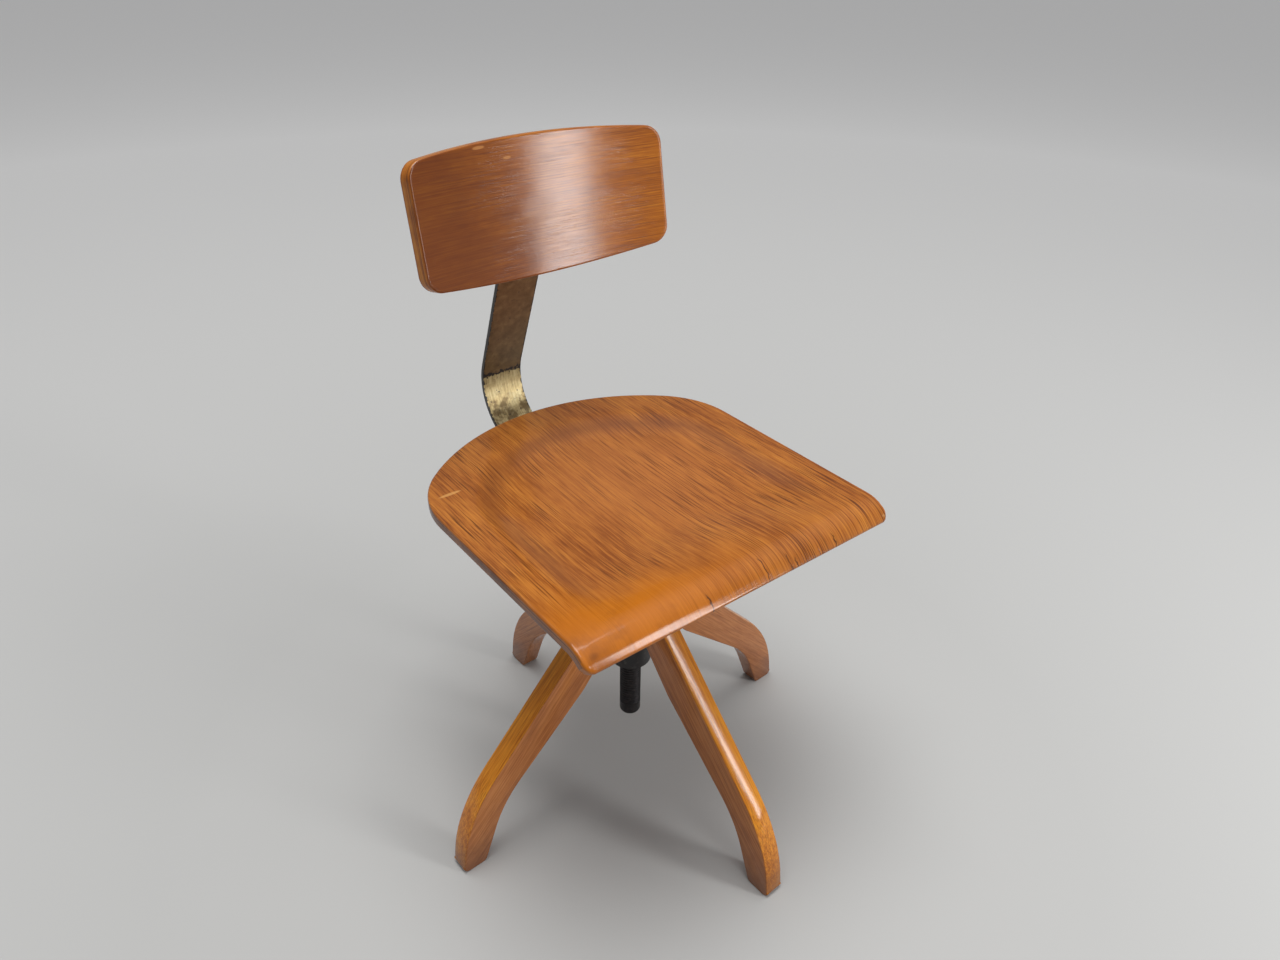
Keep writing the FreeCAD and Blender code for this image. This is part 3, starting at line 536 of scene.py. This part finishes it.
SEAT_LOW, SEAT_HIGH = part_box("seat")
SEAT_TOP = SEAT_HIGH[2]
SEAT_FRONT = SEAT_LOW[1]
SEAT_SHEET = 14 * MM
SEAT_EDGE_ROUND = 5.5 * MM
REAR_ARC, REAR_CORNER, FRONT_CORNER = 250 * MM, 110 * MM, 10 * MM
FALL_START = SEAT_FRONT + 34 * MM
FALL_ROUND = 40 * MM
FALL_ANGLE = math.radians(49)
DISH_DEPTH = 12 * MM
# The pan's wall lies between these shares of the way from the seat's middle to its outline.
PAN_FLOOR, PAN_RIM = 0.60, 0.85
SEAT_RINGS = (0.985, 0.97, 0.95, 0.93, 0.91, 0.89, 0.87, 0.85, 0.83, 0.81, 0.79, 0.76, 0.73, 0.70,
              0.66, 0.62, 0.57, 0.52, 0.46, 0.40, 0.33, 0.26, 0.19, 0.12, 0.06)


def seat_outline():
    """A D: straight front and sides, tight front corners, large rear corners, a wide rear arc."""
    half = SEAT_HIGH[0]
    arc_centre = SEAT_HIGH[1] - REAR_ARC
    corner_x = half - REAR_CORNER
    corner_y = arc_centre + math.sqrt((REAR_ARC - REAR_CORNER) ** 2 - corner_x ** 2)
    tangent = math.degrees(math.atan2(corner_y - arc_centre, corner_x))
    side_start = SEAT_FRONT + FRONT_CORNER
    side_steps, front_steps = 40, 50
    right = arc_points((half - FRONT_CORNER, side_start), FRONT_CORNER, -90, 0, 10)
    right += [Vector((half, side_start + (corner_y - side_start) * k / side_steps))
              for k in range(1, side_steps)]
    right += arc_points((corner_x, corner_y), REAR_CORNER, 0, tangent, 16)
    right += arc_points((0, arc_centre), REAR_ARC, tangent, 90, 14)[1:]
    left = [Vector((-point.x, point.y)) for point in reversed(right[:-1])]
    front_run = half - FRONT_CORNER
    front = [Vector((-front_run + 2 * front_run * k / front_steps, SEAT_FRONT))
             for k in range(1, front_steps)]
    return right + left + front


def seat_fall(y):
    """How far the seat's face has fallen below its rim at one place between back and front."""
    run = max(0.0, FALL_START - y)
    bend = FALL_ROUND * math.sin(FALL_ANGLE)
    arc = min(run, bend)
    slope = max(0.0, run - bend) * math.tan(FALL_ANGLE)
    return FALL_ROUND - math.sqrt(FALL_ROUND ** 2 - arc ** 2) + slope


def seat_place(point, share):
    """The top of the seat: a dished pan inside a flat rim, open to a front edge that falls."""
    wall = 1 - smooth_step(share, PAN_FLOOR, PAN_RIM)
    bowl = 1 - 0.35 * min(1.0, share / PAN_FLOOR) ** 2
    open_front = smooth_step(point.y, SEAT_FRONT + 22 * MM, SEAT_FRONT + 130 * MM)
    height = SEAT_TOP - DISH_DEPTH * wall * bowl * open_front - seat_fall(point.y)
    return Vector((*point, height))


SEAT_OUTLINE = seat_outline()
SEAT_MIDDLE = sum(SEAT_OUTLINE, Vector((0, 0))) / len(SEAT_OUTLINE)
SEAT_REACH = sorted((math.atan2(*(point - SEAT_MIDDLE).yx), (point - SEAT_MIDDLE).length)
                    for point in SEAT_OUTLINE)


def seat_share(point):
    """How far a point lies from the seat's middle towards its outline, from 0 to 1."""
    arm = Vector(point[:2]) - SEAT_MIDDLE
    angle = math.atan2(arm.y, arm.x)
    index = min(range(len(SEAT_REACH)), key=lambda k: abs(SEAT_REACH[k][0] - angle))
    return arm.length / SEAT_REACH[index][1]


def seat_board(point):
    """The veneer's grain runs from back to front; the third number is the depth below the rim's
    face."""
    return point.y, point.x, SEAT_TOP - seat_fall(point.y) - point.z


def make_seat():
    """One moulded sheet with its edge rounded all the way round. Its layers show at the sides and
    the back; the face veneer runs on over the front edge."""
    shape = concentric(SEAT_OUTLINE, SEAT_RINGS, seat_place)
    thicken(shape, SEAT_SHEET, Vector((0, 0, 1)), SEAT_EDGE_ROUND, 5)
    for face in shape.faces:
        middle = face.calc_center_median()
        at_edge = abs(face.normal.z) < 0.62 and seat_share(middle) > 0.95
        if at_edge and middle.y > SEAT_FRONT + 12 * MM:
            face.material_index = 1
    return shape


finish_piece("seat_sheet", make_seat(), [SEAT_WOOD, SEAT_EDGE_WOOD], "column",
             ["seat"], board=seat_board, share=seat_share)


# Backrest

RECLINE = math.radians(10)
REST_CENTRE = Vector((0, 166 * MM, 718.5 * MM))
REST_WIDTH = 310 * MM
REST_HEIGHT = 126 * MM
REST_CORNER = 17 * MM
REST_BOW = 10.6 * MM
REST_SAG = 20 * MM
REST_SHEET = 15 * MM
REST_EDGE_ROUND = 6 * MM
FACE_VENEER = 1.2 * MM
REST_CURVE = (REST_WIDTH ** 2 / 4 + REST_SAG ** 2) / (2 * REST_SAG)
REST_LEAN = Matrix.Rotation(-RECLINE, 4, "X")
REST_RINGS = (0.97, 0.94, 0.90, 0.85, 0.78, 0.70, 0.60, 0.50, 0.40, 0.30, 0.20, 0.10)


def rest_outline():
    """A wide rectangle with round corners, its top and bottom bowed outwards."""
    half, tall = REST_WIDTH / 2, REST_HEIGHT / 2
    corners = rounded_outline([(half, -tall, REST_CORNER), (half, tall, REST_CORNER),
                               (-half, tall, REST_CORNER), (-half, -tall, REST_CORNER)], 8)
    out = []
    for index, point in enumerate(corners):
        following = corners[(index + 1) % len(corners)]
        steps = max(1, round((following - point).length / (6 * MM)))
        out += [point.lerp(following, k / steps) for k in range(steps)]
    for point in out:
        bow = REST_BOW * (1 - (point.x / half) ** 2)
        point.y += bow * min(1, max(-1, point.y / (tall - REST_CORNER)))
    return out


def rest_curve(x):
    """How far the backrest's face has curved forward at one place from side to side."""
    return REST_CURVE - math.sqrt(REST_CURVE ** 2 - x ** 2)


def rest_place(point, _share):
    """A point of the backrest's flat outline, curved, leaned back and put in its place."""
    return REST_LEAN @ Vector((point.x, -rest_curve(point.x), point.y)) + REST_CENTRE


def rest_board(point):
    """The grain runs from side to side; the third number is the depth behind the hollow face."""
    local = REST_LEAN.inverted() @ (point - REST_CENTRE)
    return local.x, local.z, local.y + rest_curve(local.x)


def make_backrest():
    """One moulded sheet, hollow towards the sitter, with its edge rounded all the way round."""
    shape = concentric(rest_outline(), REST_RINGS, rest_place)
    thicken(shape, REST_SHEET, Vector((0, -1, 0)), REST_EDGE_ROUND, 5)
    for face in shape.faces:
        depth = rest_board(face.calc_center_median())[2]
        if FACE_VENEER < depth < REST_SHEET - FACE_VENEER:
            face.material_index = 1
    return shape


finish_piece("backrest_sheet", make_backrest(), [REST_WOOD, REST_EDGE_WOOD], "column",
             ["backrest"], board=rest_board)


# Legs

LEG_WIDTH = 25 * MM
LEG_CROWN = 1.2 * MM
LEG_EDGE_ROUND = 2.4 * MM
LEG_ROOT = 27 * MM
BASE_TURN = 2.5
GRAIN_SLOPE = math.radians(-46)
# Each leg takes its grain from its own place in the pattern, this far from the last leg's.
PLANK_STEP = 0.7
# The leg's outline: radius from the spindle, height and corner radius.
LEG_CORNERS = [
    (270 * MM, 0, 8 * MM),
    (259 * MM, 85 * MM, 190 * MM),
    (LEG_ROOT, 324 * MM, 0),
    (LEG_ROOT, 257 * MM, 0),
    (84 * MM, 189 * MM, 60 * MM),
    (207 * MM, 80 * MM, 140 * MM),
    (238 * MM, 0, 7 * MM),
]


def leg_slab():
    """The leg's outline as one face, extruded to the leg's width."""
    shape = bmesh.new()
    outline = rounded_outline(LEG_CORNERS, 14)
    face = shape.faces.new([shape.verts.new((point.x, -LEG_WIDTH / 2, point.y))
                            for point in outline])
    grown = bmesh.ops.extrude_face_region(shape, geom=[face])["geom"]
    bmesh.ops.translate(shape, verts=only(grown, bmesh.types.BMVert), vec=(0, LEG_WIDTH, 0))
    bmesh.ops.recalc_face_normals(shape, faces=shape.faces)
    return shape


def crown_outer_face(shape):
    """Lower a leg's outer face a little towards its sides, as a spokeshave leaves it."""
    for level in (-8, -4, 0, 4, 8):
        whole = list(shape.verts) + list(shape.edges) + list(shape.faces)
        bmesh.ops.bisect_plane(shape, geom=whole, plane_co=(0, level * MM, 0), plane_no=(0, 1, 0))
    shape.normal_update()
    moves = []
    for vert in shape.verts:
        outward = sum((face.normal for face in vert.link_faces if abs(face.normal.y) < 0.5),
                      Vector())
        outward.y = 0
        above_foot = vert.co.z > 8 * MM and vert.co.x > LEG_ROOT + 1 * MM
        if outward.length > 0 and outward.x + outward.z > 0.3 and above_foot:
            moves.append((vert, outward.normalized()))
    for vert, outward in moves:
        vert.co -= outward * LEG_CROWN * (2 * vert.co.y / LEG_WIDTH) ** 2


def make_leg(number, node):
    """A sawn leg with flat sides, a crowned outer face and eased edges."""
    shape = leg_slab()
    crown_outer_face(shape)
    eased = []
    for edge in sharp_edges(shape, 50):
        along = edge.verts[1].co - edge.verts[0].co
        middle = (edge.verts[0].co + edge.verts[1].co) / 2
        if abs(along.y) < 0.01 * MM and middle.x > LEG_ROOT + 0.2 * MM:
            eased.append(edge)
    round_edges(shape, eased, LEG_EDGE_ROUND, 3)
    shape.normal_update()
    # The flat sides and the undersides take the darker copy, which is painted shade; the eased
    # edges take the edge copy.
    for face in shape.faces:
        across = abs(face.normal.y)
        inner = face.normal.x + face.normal.z < 0.2 and across < 0.3
        if across > 0.92 or inner:
            face.material_index = 1
        elif across > 0.3:
            face.material_index = 2
    turn = Matrix.Rotation(math.radians(BASE_TURN + 90 * number), 4, "Z")
    bmesh.ops.transform(shape, matrix=turn, verts=shape.verts)
    plank = Matrix.Rotation(GRAIN_SLOPE, 4, "Y") @ turn.inverted()
    finish_piece(node + "_wood", shape, [LEG_WOOD, LEG_SHADED_SIDE_WOOD, LEG_EDGE_WOOD], "base",
                 [node],
                 board=lambda point: plank @ point + Vector((number * PLANK_STEP, 0, 0)))


for leg_number, leg_node in enumerate(["leg_right", "leg_rear", "leg_left", "leg_front"]):
    make_leg(leg_number, leg_node)


# Spindle

SPINDLE_LOW, SPINDLE_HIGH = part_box("spindle")
SPINDLE_RADIUS = SPINDLE_HIGH[0]
THREAD_PITCH = 4 * MM
THREAD_DEPTH = 1.1 * MM
TIP_LENGTH = 14 * MM
TIP_ROUND = 5 * MM
NECK_LENGTH = 34 * MM
TURN_STEPS = 32


def make_spindle():
    """A round bar with a rounded tip and a real helical thread, plain at its two ends."""
    shape = bmesh.new()
    root = SPINDLE_RADIUS - THREAD_DEPTH
    low, high = SPINDLE_LOW[2], SPINDLE_HIGH[2]
    start = low + TIP_LENGTH
    turns = int((high - NECK_LENGTH - start) / THREAD_PITCH)
    # One pitch of the thread, as radius and share of the pitch.
    ridge = [(root, 0), (root, 0.2), (SPINDLE_RADIUS, 0.42), (SPINDLE_RADIUS, 0.62),
             (root, 0.84), (root, 1)]
    chain = [shape.verts.new((radius, 0, start + share * THREAD_PITCH)) for radius, share in ridge]
    edges = [shape.edges.new(pair) for pair in zip(chain, chain[1:])]
    bmesh.ops.spin(shape, geom=chain + edges, cent=(0, 0, 0), axis=(0, 0, 1), angle=math.tau,
                   steps=TURN_STEPS, dvec=(0, 0, THREAD_PITCH / TURN_STEPS))
    first = list(shape.verts) + list(shape.edges) + list(shape.faces)
    for turn in range(1, turns):
        copy = bmesh.ops.duplicate(shape, geom=first)["geom"]
        bmesh.ops.translate(shape, verts=only(copy, bmesh.types.BMVert),
                            vec=(0, 0, turn * THREAD_PITCH))
    bmesh.ops.remove_doubles(shape, verts=shape.verts, dist=0.01 * MM)

    neck = start + turns * THREAD_PITCH
    tip = [Vector((0, low))]
    tip += arc_points((SPINDLE_RADIUS - TIP_ROUND, low + TIP_ROUND), TIP_ROUND, -90, 0, 6)
    tip += [Vector((SPINDLE_RADIUS, start + THREAD_PITCH)), Vector((0, start + THREAD_PITCH))]
    head = [Vector((0, neck)), Vector((SPINDLE_RADIUS, neck)), Vector((SPINDLE_RADIUS, high)),
            Vector((0, high))]
    for profile in (tip, head):
        chain = [shape.verts.new((point.x, 0, point.y)) for point in profile]
        edges = [shape.edges.new(pair) for pair in zip(chain, chain[1:])]
        bmesh.ops.spin(shape, geom=chain + edges, cent=(0, 0, 0), axis=(0, 0, 1),
                       angle=math.tau, steps=TURN_STEPS, use_merge=True)
    bmesh.ops.remove_doubles(shape, verts=shape.verts, dist=0.01 * MM)
    return shape


finish_piece("threaded_spindle", make_spindle(), [SCREW_STEEL], "column",
             ["spindle"], smooth_angle=30)


# Finishes of the CAD nodes that stay

NODE_FINISH = {
    "hub": BLACK_STEEL, "swivel_nut": BLACK_STEEL, "retaining_ring": BLACK_STEEL,
    "carrier": BLACK_STEEL, "seat_block": RAW_WOOD, "thrust_washer": BRONZE,
    "back_bar": PLATED_STEEL, "leg_bolts": BOLT_STEEL, "leg_washers": BOLT_STEEL,
    "ring_screw": BOLT_STEEL, "carrier_pin": BOLT_STEEL, "seat_screws": BOLT_STEEL,
    "bar_bolts": BOLT_STEEL, "bar_washers": BOLT_STEEL, "rest_screws": BOLT_STEEL,
}
for cad_node, finish in NODE_FINISH.items():
    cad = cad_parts[cad_node]
    for held_slot in cad.material_slots:
        held_slot.material = finish
    if not cad.material_slots:
        cad.data.materials.append(finish)


# Floor, light and camera

def make_studio():
    """A plain pale floor, a soft lamp overhead, a tall narrow one before the chair, and a world
    that is dim at the horizon and bright above, as in a studio with a lit ceiling."""
    material, tree, shader = new_material("matt_studio_paper", Roughness=0.9,
                                          Specular_IOR_Level=0.1)
    place = add(tree, "TexCoord", out="Object")
    distance = add(tree, "VectorMath", {0: place}, out="Value", operation="LENGTH")
    far = add(tree, "MapRange", {"Value": distance, "From Min": 0.6, "From Max": 4.0})
    paper = add(tree, "ValToRGB", {"Fac": far}, stops=[(0.0, "#B4B4B2"), (1.0, "#EEEEEC")])
    tree.links.new(paper, shader.inputs["Base Color"])
    bpy.ops.mesh.primitive_plane_add(size=60, location=(0, 0, 0))
    floor = bpy.context.object
    floor.name = "studio_floor"
    floor.data.materials.append(material)

    world = bpy.data.worlds.new("studio_world")
    bpy.context.scene.world = world
    world.use_nodes = True
    tree = world.node_tree
    height = add(tree, "SeparateXYZ", {0: add(tree, "TexCoord", out="Generated")}, out="Z")
    sky = add(tree, "ValToRGB", {"Fac": height},
              stops=[(0.0, "#868688"), (0.6, "#747476"), (0.97, "#F4F4F6")])
    background = tree.nodes["Background"]
    tree.links.new(sky, background.inputs["Color"])
    background.inputs["Strength"].default_value = 1.0

    # Name, place, width and height, and watts.
    lamps = [
        ("overhead_lamp", (-0.1, 0.1, 3.4), (1.9, 1.9), 80),
        ("front_lamp", (1.15, -2.07, 1.15), (0.34, 1.7), 27),
    ]
    aim = Vector((0, 0, 0.6))
    for name, place, spread, watts in lamps:
        data = bpy.data.lights.new(name, "AREA")
        data.shape = "RECTANGLE"
        data.size, data.size_y = spread
        data.energy = watts
        lamp = bpy.data.objects.new(name, data)
        lamp.location = place
        lamp.rotation_euler = (aim - Vector(place)).to_track_quat("-Z", "Y").to_euler()
        bpy.context.scene.collection.objects.link(lamp)


def make_camera():
    """The camera as it was fitted to the photograph: its place, heading, pitch, roll and lens."""
    place = Vector((-539.4, -691.9, 1007.6)) * MM
    heading, pitch, roll = (math.radians(angle) for angle in (-38.47, 32.41, 1.0))
    image_width, focal_pixels = 1280, 930
    data = bpy.data.cameras.new("photograph_camera")
    data.sensor_width = 36
    data.lens = focal_pixels / image_width * data.sensor_width
    camera = bpy.data.objects.new("photograph_camera", data)
    turn = Matrix.Rotation(heading, 4, "Z") @ Matrix.Rotation(math.pi / 2 - pitch, 4, "X")
    camera.matrix_world = Matrix.Translation(place) @ turn @ Matrix.Rotation(roll, 4, "Z")
    bpy.context.scene.collection.objects.link(camera)
    bpy.context.scene.camera = camera


make_studio()
make_camera()
bpy.context.scene.view_settings.view_transform = "Standard"
